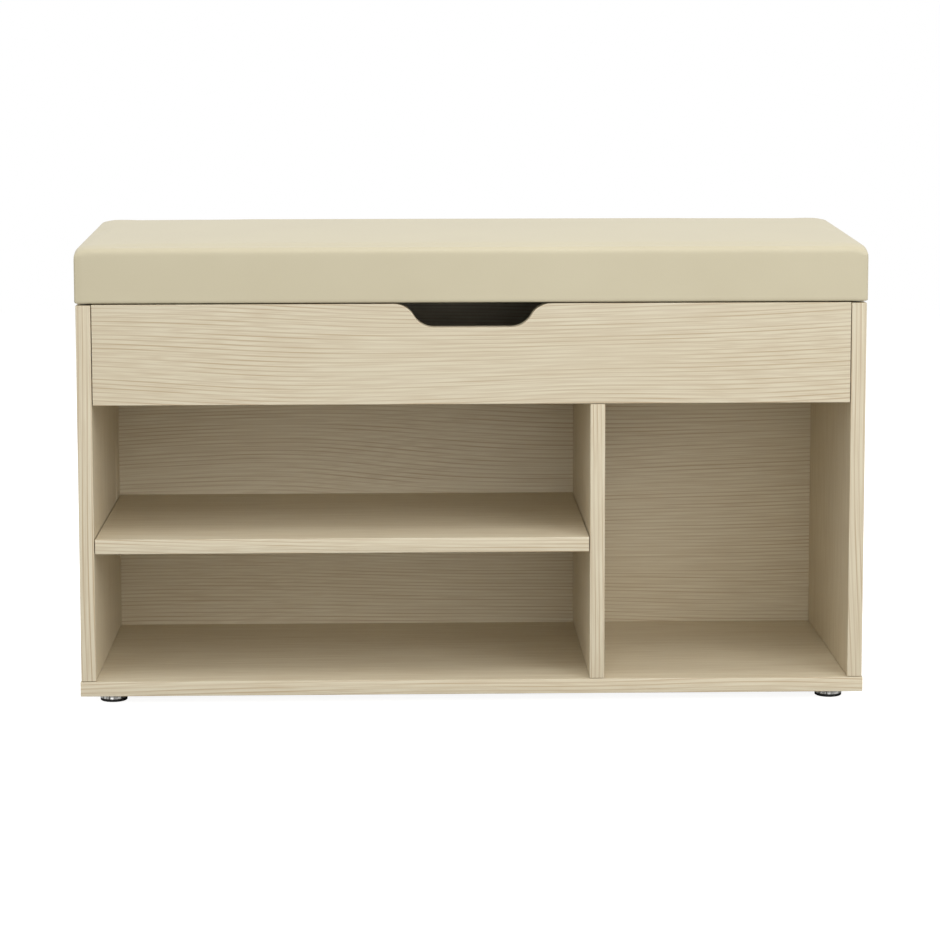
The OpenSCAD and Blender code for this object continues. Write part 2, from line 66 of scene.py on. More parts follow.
# ---- Camera ------------------------------------------------------------------------------------
# A long lens about 3 m in front of the bench, a little left of its middle and a little above it.
# The frame is shifted down a touch so that the uprights of the cabinet stay nearly parallel.
bpy.ops.object.select_all(action="DESELECT")
bpy.ops.object.camera_add(location=(-0.079, -3.088, 0.699))
camera = bpy.context.object
camera.name = "studio_camera"
turn_right, look_down, tilt = math.radians(1.49), math.radians(6.64), math.radians(-0.07)
camera.rotation_euler = (
    Matrix.Rotation(-turn_right, 3, "Z")
    @ Matrix.Rotation(math.pi / 2 - look_down, 3, "X")
    @ Matrix.Rotation(tilt, 3, "Z")
).to_euler()
camera.data.lens = 112.3
camera.data.sensor_width = 36
camera.data.shift_y = -0.12
camera.data.clip_end = 100
bpy.context.scene.camera = camera


# ---- Studio ------------------------------------------------------------------------------------
# A seamless pale floor under even white light, as in a furniture studio. A large soft box hangs
# over the bench, and a second one stands in front of it on the right.
def linear(hex_colour):
    """An sRGB hex colour as linear red, green, blue and alpha."""
    parts = [int(hex_colour[i : i + 2], 16) / 255 for i in (1, 3, 5)]
    return [c / 12.92 if c <= 0.04045 else ((c + 0.055) / 1.055) ** 2.4 for c in parts] + [1.0]


def add_node(tree, kind, settings=None, inputs=None):
    """A new node with its settings. An input is a value, or the output that feeds it."""
    node = tree.nodes.new(kind)
    for name, value in (settings or {}).items():
        setattr(node, name, value)
    for name, value in (inputs or {}).items():
        if isinstance(value, bpy.types.NodeSocket):
            tree.links.new(value, node.inputs[name])
        else:
            node.inputs[name].default_value = value
    return node


def new_material(name):
    """An empty node material with its output, ready for a shader."""
    material = bpy.data.materials.new(name)
    material.use_nodes = True
    material.node_tree.nodes.clear()
    add_node(material.node_tree, "ShaderNodeOutputMaterial")
    return material, material.node_tree


def finish_material(tree, shader):
    output = next(n for n in tree.nodes if n.type == "OUTPUT_MATERIAL")
    tree.links.new(shader.outputs["BSDF"], output.inputs["Surface"])


bpy.ops.object.select_all(action="DESELECT")
bpy.ops.mesh.primitive_circle_add(radius=60, vertices=64, fill_type="NGON", location=(0, 0, 0))
floor = bpy.context.object
floor.name = "studio_floor"
# Matt paper, lit from behind: it looks white, but throws back only part of the light that falls
# on it. Far from the bench it is as white as the sky, so no horizon shows.
paper, tree = new_material("white_background_paper")
place = add_node(tree, "ShaderNodeTexCoord").outputs["Object"]
distance = add_node(tree, "ShaderNodeVectorMath", {"operation": "LENGTH"}, {0: place})
far_share = add_node(tree, "ShaderNodeMapRange", inputs={
    "Value": distance.outputs["Value"], "From Min": 1.2, "From Max": 4.0,
    "To Min": 0.9, "To Max": 1.0})
near_grey = add_node(tree, "ShaderNodeMapRange", inputs={
    "Value": distance.outputs["Value"], "From Min": 1.2, "From Max": 4.0,
    "To Min": 0.5, "To Max": 0.0})
seen = add_node(tree, "ShaderNodeLightPath").outputs["Is Camera Ray"]
glow = add_node(tree, "ShaderNodeMath", {"operation": "MULTIPLY"}, {
    0: far_share.outputs[0], 1: seen})
finish_material(tree, add_node(tree, "ShaderNodeBsdfPrincipled", inputs={
    "Base Color": near_grey.outputs[0],
    "Roughness": 0.9,
    "Specular IOR Level": 0.0,
    "Emission Color": (1, 1, 1, 1),
    "Emission Strength": glow.outputs[0],
}))
floor.data.materials.append(paper)

# The surrounding light is a shade warmer where it falls on the bench than it is to the eye.
sky = bpy.data.worlds.new("even_studio_light")
bpy.context.scene.world = sky
sky.use_nodes = True
tree = sky.node_tree
tree.nodes.clear()
fill = add_node(tree, "ShaderNodeBackground", inputs={"Color": (1, 1, 0.99, 1), "Strength": 0.93})
white = add_node(tree, "ShaderNodeBackground", inputs={"Color": (1, 1, 1, 1), "Strength": 1.0})
seen = add_node(tree, "ShaderNodeLightPath").outputs["Is Camera Ray"]
both = add_node(tree, "ShaderNodeMixShader", inputs={
    0: seen, 1: fill.outputs[0], 2: white.outputs[0]})
add_node(tree, "ShaderNodeOutputWorld", inputs={"Surface": both.outputs[0]})


def soft_box(name, place, aim, size, watts, colour):
    """A square area light at place that points at aim."""
    bpy.ops.object.light_add(type="AREA", location=place)
    light = bpy.context.object
    light.name = name
    light.rotation_euler = (Vector(aim) - Vector(place)).to_track_quat("-Z", "Y").to_euler()
    light.data.size = size
    light.data.energy = watts
    light.data.color = colour


soft_box("top_soft_box", (0.1, -1.0, 2.2), (0, -0.15, 0.45), 0.4, 6, (1, 1, 1))
soft_box("key_soft_box", (1.9, -2.5, 1.8), (0, 0, 0.25), 1.8, 26, (1, 1, 1.01))
soft_box("front_soft_box", (0.3, -4.2, 1.15), (0, 0, 0.25), 2.2, 15, (1, 1, 0.99))
soft_box("low_soft_box", (0.3, -4.0, 0.45), (0, 0, 0.25), 0.8, 3, (1, 1, 0.99))
bpy.context.scene.view_settings.view_transform = "Standard"
bpy.context.scene.view_settings.look = "None"


# ---- Cabinet boards ----------------------------------------------------------------------------
# 15 mm particle board faced with melamine paper printed as pale maple, sawn to size and drilled.
# The sheet's edges are eased by about half a millimetre, and the raw core shows at the back.
def grain_scale(along, coarse, fine):
    """Scales for a pattern with coarse cells per metre along the grain and fine ones across."""
    scale = [fine, fine, fine]
    scale["XYZ".index(along)] = coarse
    return scale


def grain_noise(tree, vector, along, coarse, fine, detail):
    """Noise drawn out along the grain."""
    stretch = add_node(tree, "ShaderNodeMapping", inputs={
        "Vector": vector, "Scale": grain_scale(along, coarse, fine)})
    return add_node(tree, "ShaderNodeTexNoise", inputs={
        "Vector": stretch.outputs[0], "Scale": 1.0, "Detail": detail, "Roughness": 0.42})


def maple_laminate(name, along, light, line, shade):
    """Printed maple: year rings as warm hairlines that drift, part and close up along the grain.

    To the eye it is a matt cream board with fine wavy lines 3 to 6 mm apart."""
    material, tree = new_material(name)
    place = add_node(tree, "ShaderNodeTexCoord").outputs["Object"]
    drift = grain_noise(tree, place, along, 1.6, 4.5, 1.2)
    centred = add_node(tree, "ShaderNodeVectorMath", {"operation": "SUBTRACT"}, {
        0: drift.outputs["Color"], 1: (0.5, 0.5, 0.5)})
    swayed = add_node(tree, "ShaderNodeVectorMath", {"operation": "MULTIPLY"}, {
        0: centred.outputs[0], 1: grain_scale(along, 0.0, 0.04)})
    flow = add_node(tree, "ShaderNodeVectorMath", {"operation": "ADD"}, {
        0: place, 1: swayed.outputs[0]})
    across = add_node(tree, "ShaderNodeMapping", inputs={
        "Vector": flow.outputs[0], "Scale": grain_scale(along, 0.0, 1.0)})
    ring_spacing = 0.0042
    rings = add_node(tree, "ShaderNodeTexWave", {
        "wave_type": "BANDS", "bands_direction": "DIAGONAL", "wave_profile": "SIN"}, {
        "Vector": across.outputs[0], "Scale": 2 * math.pi / 10 / ring_spacing, "Distortion": 0.0})
    line_shape = add_node(tree, "ShaderNodeMapRange", inputs={
        "Value": rings.outputs["Fac"], "From Min": 0.68, "From Max": 1.0})
    strength = grain_noise(tree, flow.outputs[0], along, 7.0, 130, 2.0)
    line_share = add_node(tree, "ShaderNodeMapRange", inputs={
        "Value": strength.outputs[0], "From Min": 0.35, "From Max": 0.65,
        "To Min": 0.35, "To Max": 1.0})
    drawn = add_node(tree, "ShaderNodeMath", {"operation": "MULTIPLY"}, {
        0: line_shape.outputs[0], 1: line_share.outputs[0]})
    fibres = grain_noise(tree, flow.outputs[0], along, 18, 620, 2.0)
    fibre_share = add_node(tree, "ShaderNodeMapRange", inputs={
        "Value": fibres.outputs[0], "From Min": 0.38, "From Max": 0.7,
        "To Min": 0.0, "To Max": 0.4})
    all_lines = add_node(tree, "ShaderNodeMath", {"operation": "MAXIMUM"}, {
        0: drawn.outputs[0], 1: fibre_share.outputs[0]})
    tone = grain_noise(tree, place, along, 1.8, 20, 2.0)
    tone_share = add_node(tree, "ShaderNodeMapRange", inputs={
        "Value": tone.outputs[0], "From Min": 0.4, "From Max": 0.7, "To Min": 0.0, "To Max": 0.35})
    ground = add_node(tree, "ShaderNodeMix", {"data_type": "RGBA"}, {
        "Factor": tone_share.outputs[0], 6: linear(light), 7: linear(shade)})
    lined = add_node(tree, "ShaderNodeMix", {"data_type": "RGBA"}, {
        "Factor": all_lines.outputs[0], 6: ground.outputs[2], 7: linear(line)})
    bump = add_node(tree, "ShaderNodeBump", inputs={
        "Strength": 0.15, "Distance": 0.0001, "Height": all_lines.outputs[0]})
    finish_material(tree, add_node(tree, "ShaderNodeBsdfPrincipled", inputs={
        "Base Color": lined.outputs[2],
        "Roughness": 0.5,
        "IOR": 1.5,
        "Normal": bump.outputs[0],
    }))
    return material


laminate = {
    "X": maple_laminate("melamine_maple_grain_across", "X", "#DBD1B8", "#BBA585", "#D2C5A8"),
    "Z": maple_laminate("melamine_maple_grain_upright", "Z", "#DBD1B8", "#BBA585", "#D2C5A8"),
}

# Sawn particle board: pressed chips of several browns, 1 to 4 mm long, dry and rough.
chipboard, tree = new_material("sawn_particle_board")
place = add_node(tree, "ShaderNodeTexCoord").outputs["Object"]
chips = add_node(tree, "ShaderNodeTexVoronoi", inputs={"Vector": place, "Scale": 420.0})
chip_tones = add_node(tree, "ShaderNodeValToRGB", inputs={"Fac": chips.outputs["Color"]})
chip_tones.color_ramp.elements[0].color = linear("#9C7C52")
chip_tones.color_ramp.elements[1].color = linear("#CFB78E")
chip_bump = add_node(tree, "ShaderNodeBump", inputs={
    "Strength": 0.5, "Distance": 0.0004, "Height": chips.outputs["Distance"]})
finish_material(tree, add_node(tree, "ShaderNodeBsdfPrincipled", inputs={
    "Base Color": chip_tones.outputs[0],
    "Roughness": 0.85,
    "Normal": chip_bump.outputs[0],
}))


def sides_of_box(point, low, high):
    """Which sides of the box from low to high the point lies on."""
    return {sign + axis for i, axis in enumerate("xyz")
            for sign, edge in (("-", low), ("+", high)) if abs(point[i] - edge[i]) < 2e-5}


def eased_board(node, body, material, wants, ease, butted="", raw=()):
    """A copy of a drilled board, joined up and with the edges that wants picks rounded over.

    Along the butted axis its two ends stop a hairline short of the boards they meet.

    Faces that lie on a side of the board named in raw show the particle board."""
    bpy.ops.object.select_all(action="DESELECT")
    board = frame["nodes"][node].copy()
    board.data = board.data.copy()
    board.parent = None
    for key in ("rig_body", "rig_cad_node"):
        del board[key]
    board.name = "eased_" + node
    bpy.context.scene.collection.objects.link(board)
    board.select_set(True)
    bpy.context.view_layer.objects.active = board
    low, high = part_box(node)
    bpy.ops.object.mode_set(mode="EDIT")
    bpy.ops.mesh.select_all(action="SELECT")
    bpy.ops.mesh.remove_doubles(threshold=0.00002)
    bpy.ops.mesh.dissolve_limited(angle_limit=math.radians(0.5))
    bpy.ops.mesh.select_all(action="DESELECT")
    mesh = bmesh.from_edit_mesh(board.data)
    for edge in mesh.edges:
        if len(edge.link_faces) == 2 and edge.calc_face_angle(0) > math.radians(30):
            shared = (sides_of_box(edge.verts[0].co, low, high)
                      & sides_of_box(edge.verts[1].co, low, high))
            edge.select = wants(edge, shared)
    mesh.select_flush(True)
    for axis in ["xyz".index(name) for name in butted]:
        for vertex in mesh.verts:
            if abs(vertex.co[axis] - low[axis]) < 2e-5:
                vertex.co[axis] += seam
            elif abs(vertex.co[axis] - high[axis]) < 2e-5:
                vertex.co[axis] -= seam
    bmesh.update_edit_mesh(board.data)
    bpy.ops.mesh.bevel(offset=ease, segments=3, affect="EDGES", clamp_overlap=True)
    bpy.ops.object.mode_set(mode="OBJECT")
    board.data.materials.clear()
    board.data.materials.append(material)
    board.data.materials.append(chipboard)
    for face in board.data.polygons:
        on_side = sides_of_box(face.center, low, high)
        face.material_index = 1 if on_side & set(raw) else 0
    bpy.ops.object.shade_smooth_by_angle(angle=math.radians(25))
    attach(board, body)
    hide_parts(node)
    return board


def box_edges(*strip_sides):
    """Picks the long outer edges of a board, except round the sides that carry an edge strip."""
    return lambda edge, shared: len(shared) >= 2 and not shared & set(strip_sides)


board_ease = 0.0006
seam = 0.0006
for node, grain, strips in (
    ("base_panel", "X", ["-y"]),
    ("left_side_panel", "Z", ["-y"]),
    ("right_side_panel", "Z", ["-y"]),
    ("divider_panel", "Z", ["-y"]),
    ("fixed_shelf", "X", ["-y"]),
    ("compartment_floor", "X", []),
    ("hinge_rail", "X", []),
    ("front_apron", "X", ["+z"]),
):
    eased_board(node, "cabinet", laminate[grain], box_edges(*strips), board_ease,
                butted="" if node == "base_panel" else grain.lower(), raw=["+y"] if node in ("base_panel", "left_side_panel", "right_side_panel") else [])


# ---- Edge strips -------------------------------------------------------------------------------
# 1 mm plastic strip printed to match, glued to the front edges and trimmed flush, with its two
# front corners rounded. The strip on the apron runs down into the finger cut-out.
strip_ease = 0.0005
for node, grain in (
    ("base_edging", "X"),
    ("left_side_edging", "Z"),
    ("right_side_edging", "Z"),
    ("divider_edging", "Z"),
    ("shelf_edging", "X"),
):
    eased_board(node, "cabinet", laminate[grain],
                lambda edge, shared: len(shared) >= 2 and "-y" in shared, strip_ease,
                butted="" if node == "base_edging" else grain.lower())


def cutout_rim(edge, shared):
    """The edge between the apron's front face and the strip's upper side."""
    normals = [face.normal for face in edge.link_faces]
    return "-y" in shared and any(n.z > 0.1 for n in normals) and any(n.y < -0.9 for n in normals)


eased_board("apron_edging", "cabinet", laminate["X"], cutout_rim, 0.0008, butted="x")


# ---- Back panel --------------------------------------------------------------------------------
# 3 mm hardboard, printed on the side that shows through the bays and bare brown behind. It
# slides in grooves, so its edges never show.
hardboard, tree = new_material("bare_hardboard")
place = add_node(tree, "ShaderNodeTexCoord").outputs["Object"]
mesh_map = add_node(tree, "ShaderNodeTexNoise", inputs={
    "Vector": place, "Scale": 260.0, "Detail": 3.0})
browns = add_node(tree, "ShaderNodeValToRGB", inputs={"Fac": mesh_map.outputs[0]})
browns.color_ramp.elements[0].position = 0.3
browns.color_ramp.elements[0].color = linear("#7A5A3A")
browns.color_ramp.elements[1].position = 0.7
browns.color_ramp.elements[1].color = linear("#9A7850")
felt_bump = add_node(tree, "ShaderNodeBump", inputs={
    "Strength": 0.4, "Distance": 0.0003, "Height": mesh_map.outputs[0]})
finish_material(tree, add_node(tree, "ShaderNodeBsdfPrincipled", inputs={
    "Base Color": browns.outputs[0],
    "Roughness": 0.8,
    "Normal": felt_bump.outputs[0],
}))
back = eased_board("back_panel", "cabinet", laminate["X"],
                   box_edges(), 0.0002, raw=["+y"])
back.data.materials[1] = hardboard


# ---- Feet --------------------------------------------------------------------------------------
# Pressed steel caps, chromed, each holding a black rubber pad and screwed to the base.
def plain_finish(name, colour, metallic, roughness, bump_mm, grain_mm, ior=1.5, spread=0.06):
    """One finish whose colour and roughness wander slightly over grains of grain_mm."""
    material, tree = new_material(name)
    place = add_node(tree, "ShaderNodeTexCoord").outputs["Object"]
    grains = add_node(tree, "ShaderNodeTexNoise", inputs={
        "Vector": place, "Scale": 1000 / grain_mm, "Detail": 3.0})
    low_tone = [c * (1 - spread) for c in linear(colour)[:3]] + [1]
    high_tone = [min(1, c * (1 + spread)) for c in linear(colour)[:3]] + [1]
    tones = add_node(tree, "ShaderNodeMix", {"data_type": "RGBA"}, {
        "Factor": grains.outputs[0], 6: low_tone, 7: high_tone})
    rough = add_node(tree, "ShaderNodeMapRange", inputs={
        "Value": grains.outputs[0], "To Min": roughness * 0.8, "To Max": roughness * 1.2})
    bump = add_node(tree, "ShaderNodeBump", inputs={
        "Strength": 0.4, "Distance": bump_mm / 1000, "Height": grains.outputs[0]})
    finish_material(tree, add_node(tree, "ShaderNodeBsdfPrincipled", inputs={
        "Base Color": tones.outputs[2],
        "Metallic": metallic,
        "Roughness": rough.outputs[0],
        "IOR": ior,
        "Normal": bump.outputs[0],
    }))
    return material


def dress(nodes, material):
    """Gives CAD nodes their finish."""
    for node in nodes:
        mesh = frame["nodes"][node].data
        mesh.materials.clear()
        mesh.materials.append(material)


# Chrome plate over pressed steel: a bright mirror, softened a little by the pressing.
chrome = plain_finish("chrome_plated_steel", "#D2D2D0", 1.0, 0.3, 0.002, 6)
# Moulded rubber: black, dull and slightly pitted.
rubber = plain_finish("moulded_black_rubber", "#1B1B1C", 0.0, 0.65, 0.05, 0.8)
for row in ("front", "rear"):
    for hand in ("left", "right"):
        cap = eased_board(f"{row}_{hand}_foot_cap", "cabinet", chrome,
                          lambda edge, shared: "+z" in shared or "-z" in shared, 0.0003)
        pad = eased_board(f"{row}_{hand}_foot_pad", "cabinet", rubber,
                          lambda edge, shared: "-z" in shared, 0.0002)


# ---- Screws, cams and dowels -------------------------------------------------------------------
# Bright zinc-plated screws and cam bolts, die-cast cams and grooved beech dowels.
zinc = plain_finish("bright_zinc_plated_steel", "#BDC1C6", 1.0, 0.28, 0.02, 3)
die_cast = plain_finish("die_cast_zinc", "#A9ABAE", 1.0, 0.45, 0.05, 1.2)
beech = plain_finish("turned_beech", "#C8A878", 0.0, 0.6, 0.06, 1.5, spread=0.12)
bumper_plastic = plain_finish("clear_soft_plastic", "#E4E4E0", 0.0, 0.2, 0.01, 4, spread=0.02)
dress(("foot_screws", "base_screws", "cam_bolts", "hinge_rail_screws", "stay_side_screws",
       "hinge_lid_screws", "stay_lid_screws"), zinc)
dress(("cam_locks",), die_cast)
dress(("wood_dowels",), beech)
dress(("lid_bumpers",), bumper_plastic)


# ---- Hinges and lid stays ----------------------------------------------------------------------
# Stamped and rolled from plated steel strip: two butt hinges, and on each side a folding stay of
# two flat arms between a plate on the side panel and an angle under the lid.
for node in ("left_hinge_cabinet_leaf", "right_hinge_cabinet_leaf", "left_hinge_pin",
             "right_hinge_pin", "left_stay_side_bracket", "right_stay_side_bracket",
             "left_hinge_lid_leaf", "right_hinge_lid_leaf", "left_stay_lid_bracket",
             "right_stay_lid_bracket", "left_stay_lower_arm", "right_stay_lower_arm",
             "left_stay_elbow_rivet", "right_stay_elbow_rivet", "left_stay_upper_arm",
             "right_stay_upper_arm"):
    dress((node,), zinc)


# ---- Lid board and lining ----------------------------------------------------------------------
# The lid's board is bare particle board. Black spun lining, 0.5 mm thick, is stretched under it
# inside the turned edge of the cover, and is cut out round the hinge leaves.
dress(("lid_board",), chipboard)
lining_low, lining_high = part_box("lid_lining")
leaf_low, leaf_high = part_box("right_hinge_lid_leaf")
leaf_half = (leaf_high.x - leaf_low.x) / 2 + 0.001
leaf_mid = (leaf_high.x + leaf_low.x) / 2


def bisect_at(axis, places):
    """Cuts loops square to the axis at each place, through the mesh in edit mode."""
    for place in places:
        bpy.ops.mesh.select_all(action="SELECT")
        normal = [1.0 if "xyz"[i] == axis else 0.0 for i in range(3)]
        bpy.ops.mesh.bisect(plane_co=[place * n for n in normal], plane_no=normal)


def span(low, high, count):
    """Even steps from low to high, without the two ends."""
    return [low + (high - low) * i / count for i in range(1, count)]


def in_notch(point, margin):
    """Whether a point lies in a hinge leaf's cut-out, which is open to the back."""
    return abs(abs(point.x) - leaf_mid) < leaf_half + margin and point.y > leaf_low.y - margin


bpy.ops.object.select_all(action="DESELECT")
bpy.ops.mesh.primitive_plane_add(size=1, location=(lining_low + lining_high) / 2)
lining = bpy.context.object
lining.name = "spun_lining"
lining.scale = (lining_high.x - lining_low.x, lining_high.y - lining_low.y, 1)
bpy.ops.object.transform_apply(location=True, rotation=True, scale=True)
bpy.ops.object.mode_set(mode="EDIT")
bisect_at("x", [s * (leaf_mid + t * leaf_half) for s in (-1, 1) for t in (-1, 1)])
bisect_at("x", span(lining_low.x, lining_high.x, 40))
bisect_at("y", [leaf_low.y - 0.001])
bisect_at("y", span(lining_low.y, lining_high.y, 14))
bpy.ops.mesh.select_all(action="DESELECT")
mesh = bmesh.from_edit_mesh(lining.data)
for face in mesh.faces:
    face.select = in_notch(face.calc_center_median(), 0.0008)
bmesh.update_edit_mesh(lining.data)
bpy.ops.mesh.delete(type="FACE")
bpy.ops.object.mode_set(mode="OBJECT")
slack = 0.00012
for vertex in lining.data.vertices:
    vertex.co.z += slack * math.sin(vertex.co.x * 70) * math.cos(vertex.co.y * 90)
thickness = lining.modifiers.new("cloth_thickness", "SOLIDIFY")
thickness.thickness = 0.0004
thickness.offset = 0
bpy.ops.object.modifier_apply(modifier=thickness.name)
bpy.ops.object.shade_smooth_by_angle(angle=math.radians(40))
# Spun-bonded polypropylene: dull black, with a faint grid of weld points 2 mm apart.
spun, tree = new_material("spun_bonded_lining")
place = add_node(tree, "ShaderNodeTexCoord").outputs["Object"]
welds = add_node(tree, "ShaderNodeTexVoronoi", {"feature": "F1"}, {
    "Vector": place, "Scale": 480.0, "Randomness": 0.15})
threads = add_node(tree, "ShaderNodeTexNoise", inputs={
    "Vector": place, "Scale": 900.0, "Detail": 3.0})
dark_tones = add_node(tree, "ShaderNodeMix", {"data_type": "RGBA"}, {
    "Factor": threads.outputs[0], 6: linear("#1F1D1C"), 7: linear("#3A3735")})
weld_bump = add_node(tree, "ShaderNodeBump", inputs={
    "Strength": 0.7, "Distance": 0.0003, "Height": welds.outputs["Distance"]})
finish_material(tree, add_node(tree, "ShaderNodeBsdfPrincipled", inputs={
    "Base Color": dark_tones.outputs[2],
    "Roughness": 0.85,
    "Sheen Weight": 0.3,
    "Normal": weld_bump.outputs[0],
}))
lining.data.materials.append(spun)
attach(lining, "lid")
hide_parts("lid_lining")
dress(("cover_staples",), zinc)


# ---- Foam pad ----------------------------------------------------------------------------------
# A slab of open-cell polyurethane foam glued on the lid board, cut thicker towards the back. Its
# edges are cut a little round and its middle stands proud, which crowns the seat.
foam_low, foam_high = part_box("foam_pad")
seat_rise, seat_crown = 0.0085, 0.0025


def seat_lift(point, low, high):
    """How far the top of the seat stands over its front edge at this point."""
    deep = (point.y - low.y) / (high.y - low.y)
    wide = (point.x - low.x) / (high.x - low.x)
    dome = (1 - abs(2 * wide - 1) ** 6) * (1 - abs(2 * deep - 1) ** 3)
    return seat_rise * min(1, max(0, deep)) + seat_crown * max(0, dome)


bpy.ops.object.select_all(action="DESELECT")
foam_inset = 0.0022
foam_front_z = foam_high.z - seat_rise - 0.0015
bpy.ops.mesh.primitive_cube_add(size=1, location=(
    (foam_low.x + foam_high.x) / 2, (foam_low.y + foam_high.y) / 2, (foam_low.z + foam_front_z) / 2))
foam = bpy.context.object
foam.name = "seat_foam"
foam.scale = (foam_high.x - foam_low.x - 2 * foam_inset, foam_high.y - foam_low.y - 2 * foam_inset,
              foam_front_z - foam_low.z)
bpy.ops.object.transform_apply(location=True, rotation=True, scale=True)
bpy.ops.object.mode_set(mode="EDIT")
bpy.ops.mesh.select_all(action="DESELECT")
mesh = bmesh.from_edit_mesh(foam.data)
for edge in mesh.edges:
    edge.select = max(v.co.z for v in edge.verts) > foam_front_z - 1e-5
bmesh.update_edit_mesh(foam.data)
bpy.ops.mesh.bevel(offset=0.0095, segments=4, affect="EDGES")
bisect_at("x", span(foam_low.x + 0.012, foam_high.x - 0.012, 40))
bisect_at("y", span(foam_low.y + 0.012, foam_high.y - 0.012, 16))
bpy.ops.object.mode_set(mode="OBJECT")
for vertex in foam.data.vertices:
    up = (vertex.co.z - foam_low.z) / (foam_front_z - foam_low.z)
    vertex.co.z += up * (seat_lift(vertex.co, foam_low, foam_high) - 0.002)
bpy.ops.object.shade_smooth_by_angle(angle=math.radians(40))
# Open-cell foam: pale yellow, matt, with pores about half a millimetre across. Each pore's hollow is
# painted darker than its cell walls, as painted shade.
sponge, tree = new_material("open_cell_foam")
place = add_node(tree, "ShaderNodeTexCoord").outputs["Object"]
pores = add_node(tree, "ShaderNodeTexVoronoi", inputs={"Vector": place, "Scale": 1400.0})
# Painted shade: the colour darkens towards each pore's centre, where the bump sinks into a hollow.
pore_shaded_tones = add_node(tree, "ShaderNodeMix", {"data_type": "RGBA"}, {
    "Factor": pores.outputs["Distance"], 6: linear("#C9BC78"), 7: linear("#EBE2AE")})
pore_bump = add_node(tree, "ShaderNodeBump", inputs={
    "Strength": 0.6, "Distance": 0.0004, "Height": pores.outputs["Distance"]})
finish_material(tree, add_node(tree, "ShaderNodeBsdfPrincipled", inputs={
    "Base Color": pore_shaded_tones.outputs[2],
    "Roughness": 0.95,
    "Normal": pore_bump.outputs[0],
}))
foam.data.materials.append(sponge)
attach(foam, "lid")
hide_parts("foam_pad")


# ---- Seat cover --------------------------------------------------------------------------------
# Polyurethane-coated fabric sewn into a box, drawn tight over the foam, turned 22 mm under the
# board and stapled there. It is swollen as cloth over the pad, then its corner folds are pressed.
cover_low, cover_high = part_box("seat_cover")
swell = Vector((0.0012, 0.0012, 0.0016))
loose = 0.0003
start_low = cover_low + Vector((loose, loose, 0))
start_high = cover_high - Vector((loose, loose, seat_rise + swell.z / 2))
bpy.ops.object.select_all(action="DESELECT")
bpy.ops.mesh.primitive_cube_add(size=1, location=(start_low + start_high) / 2)
cover = bpy.context.object
cover.name = "sewn_seat_cover"
cover.scale = start_high - start_low
bpy.ops.object.transform_apply(location=True, rotation=True, scale=True)
bpy.ops.object.mode_set(mode="EDIT")


def bevel_where(test, offset, segments):
    """Rounds the edges whose two ends both pass the test."""
    bpy.ops.mesh.select_all(action="DESELECT")
    mesh = bmesh.from_edit_mesh(bpy.context.object.data)
    for edge in mesh.edges:
        edge.select = test(edge.verts[0].co, edge.verts[1].co)
    bmesh.update_edit_mesh(bpy.context.object.data)
    bpy.ops.mesh.bevel(offset=offset, segments=segments, affect="EDGES")


corner_round, rim_round, foot_round = 0.0035, 0.0065, 0.0006
bevel_where(lambda a, b: abs(a.z - b.z) > 0.02, corner_round, 3)
bevel_where(lambda a, b: min(a.z, b.z) > start_high.z - 1e-5, rim_round, 6)
bevel_where(lambda a, b: max(a.z, b.z) < start_low.z + 1e-5, foot_round, 2)
flange = 0.022
foot_hold = 0.004   # a row of vertices this far from the foot keeps it sharp when it is smoothed
for inset in (flange, foot_hold):
    bisect_at("x", [start_low.x + inset, start_high.x - inset])
    bisect_at("y", [start_low.y + inset, start_high.y - inset])
bisect_at("z", [start_low.z + foot_hold])
bisect_at("x", [s * (leaf_mid + t * leaf_half) for s in (-1, 1) for t in (-1, 1)])
bisect_at("x", span(start_low.x + rim_round, start_high.x - rim_round, 100))
bisect_at("y", span(start_low.y + rim_round, start_high.y - rim_round, 36))
bisect_at("z", span(start_low.z + foot_round, start_high.z - rim_round, 7))
bpy.ops.mesh.select_all(action="SELECT")
bpy.ops.mesh.remove_doubles(threshold=0.0002)
bpy.ops.object.mode_set(mode="OBJECT")
for vertex in cover.data.vertices:
    up = (vertex.co.z - start_low.z) / (start_high.z - start_low.z)
    vertex.co.z += up * seat_lift(vertex.co, start_low, start_high)

before = [v.co.copy() for v in cover.data.vertices]
held = cover.vertex_groups.new(name="stapled_edge")
held.add([v.index for v in cover.data.vertices if v.co.z < start_low.z + 0.003], 1, "REPLACE")
cloth = cover.modifiers.new("cloth", "CLOTH")
cloth.settings.quality = 5
cloth.settings.mass = 0.3
cloth.settings.tension_stiffness = 25
cloth.settings.compression_stiffness = 25
cloth.settings.bending_stiffness = 4
cloth.settings.use_pressure = True
cloth.settings.uniform_pressure_force = 4
cloth.settings.vertex_group_mass = held.name
cloth.settings.effector_weights.gravity = 0
frames = 20
cloth.point_cache.frame_start = 1
cloth.point_cache.frame_end = frames
for step in range(1, frames + 1):
    bpy.context.scene.frame_set(step)
bpy.ops.object.modifier_apply(modifier=cloth.name)
bpy.context.scene.frame_set(1)
# The stitching holds the cover back as it swells, and the foam and board as it pulls in.
pull_in = 0.0001
middle = (cover_low + cover_high) / 2
for vertex, start in zip(cover.data.vertices, before):
    for axis in range(3):
        moved = vertex.co[axis] - start[axis]
        most = swell[axis] if moved * (start[axis] - middle[axis]) > 0 else pull_in
        vertex.co[axis] = start[axis] + most * math.tanh(moved / most)

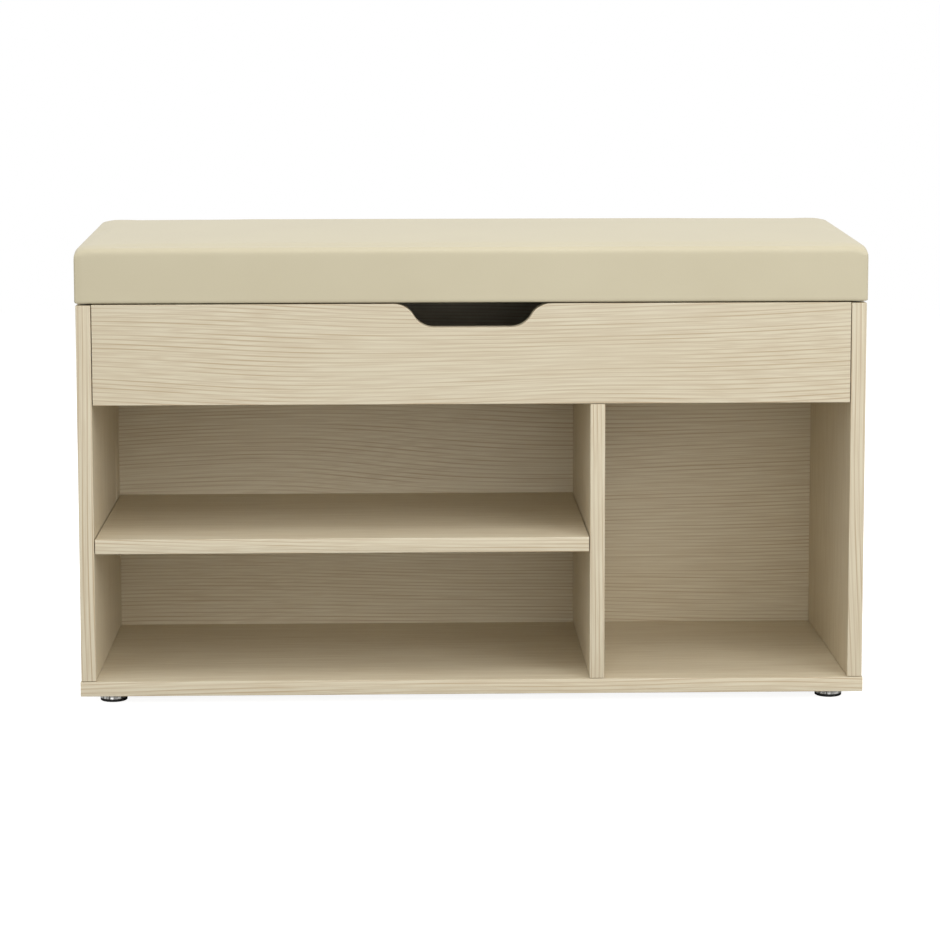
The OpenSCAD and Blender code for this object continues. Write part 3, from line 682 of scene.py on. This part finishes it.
bpy.ops.object.mode_set(mode="EDIT")
bpy.ops.mesh.select_all(action="DESELECT")
mesh = bmesh.from_edit_mesh(cover.data)
for face in mesh.faces:
    middle = face.calc_center_median()
    inside = (abs(middle.x) < start_high.x - flange
              and start_low.y + flange < middle.y < start_high.y - flange)
    under = middle.z < start_low.z + 0.0004
    notched = in_notch(middle, 0) and middle.z < start_low.z + foot_round * 0.9
    face.select = under and inside or notched
bmesh.update_edit_mesh(cover.data)
bpy.ops.mesh.delete(type="FACE")
bpy.ops.object.mode_set(mode="OBJECT")
smooth = cover.modifiers.new("smooth", "SUBSURF")
smooth.levels = 1
smooth.render_levels = 1
bpy.ops.object.modifier_apply(modifier=smooth.name)
# The corners are folded like a parcel. The rim drops a little towards each one, and a crease
# runs down the face 2.5 mm in from the end.
fold_x = start_high.x - 0.0022
for vertex in cover.data.vertices:
    end_x = start_high.x - abs(vertex.co.x)
    end_y = min(vertex.co.y - start_low.y, start_high.y - vertex.co.y)
    up = (vertex.co.z - start_low.z) / (start_high.z - start_low.z)
    at_corner = math.exp(-((max(0, end_x) ** 2 + max(0, end_y) ** 2) / 0.0085 ** 2))
    if up > 0.5:
        vertex.co.z -= 0.0042 * at_corner * (up - 0.5) * 2
    on_face = end_y < 0.003
    near_fold = math.exp(-(((abs(vertex.co.x) - fold_x) / 0.0009) ** 2))
    if on_face and up > 0.03:
        inwards = 1 if vertex.co.y < 0 else -1
        vertex.co.y += inwards * 0.0007 * near_fold
wall = cover.modifiers.new("leather_thickness", "SOLIDIFY")
wall.thickness = 0.0009
wall.offset = -1
bpy.ops.object.modifier_apply(modifier=wall.name)
bpy.ops.object.shade_smooth()

# Polyurethane faux leather: cream, satin, with an embossed pebble grain. The real pebbles are
# under a millimetre; they are drawn at about 1.6 mm so that they still show.
faux_leather, tree = new_material("cream_polyurethane_leather")
place = add_node(tree, "ShaderNodeTexCoord").outputs["Object"]
pebbles = add_node(tree, "ShaderNodeTexVoronoi", {"feature": "SMOOTH_F1"}, {
    "Vector": place, "Scale": 620.0, "Smoothness": 0.4})
patches = add_node(tree, "ShaderNodeTexNoise", inputs={
    "Vector": place, "Scale": 11.0, "Detail": 2.0})
creams = add_node(tree, "ShaderNodeMix", {"data_type": "RGBA"}, {
    "Factor": patches.outputs[0], 6: linear("#C7BDA0"), 7: linear("#CFC6AA")})
leather_rough = add_node(tree, "ShaderNodeMapRange", inputs={
    "Value": patches.outputs[0], "To Min": 0.38, "To Max": 0.46})
pebble_bump = add_node(tree, "ShaderNodeBump", inputs={
    "Strength": 0.12, "Distance": 0.0003, "Height": pebbles.outputs["Distance"]})
finish_material(tree, add_node(tree, "ShaderNodeBsdfPrincipled", inputs={
    "Base Color": creams.outputs[2],
    "Roughness": leather_rough.outputs[0],
    "IOR": 1.5,
    "Normal": pebble_bump.outputs[0],
}))
cover.data.materials.append(faux_leather)
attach(cover, "lid")
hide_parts("seat_cover")
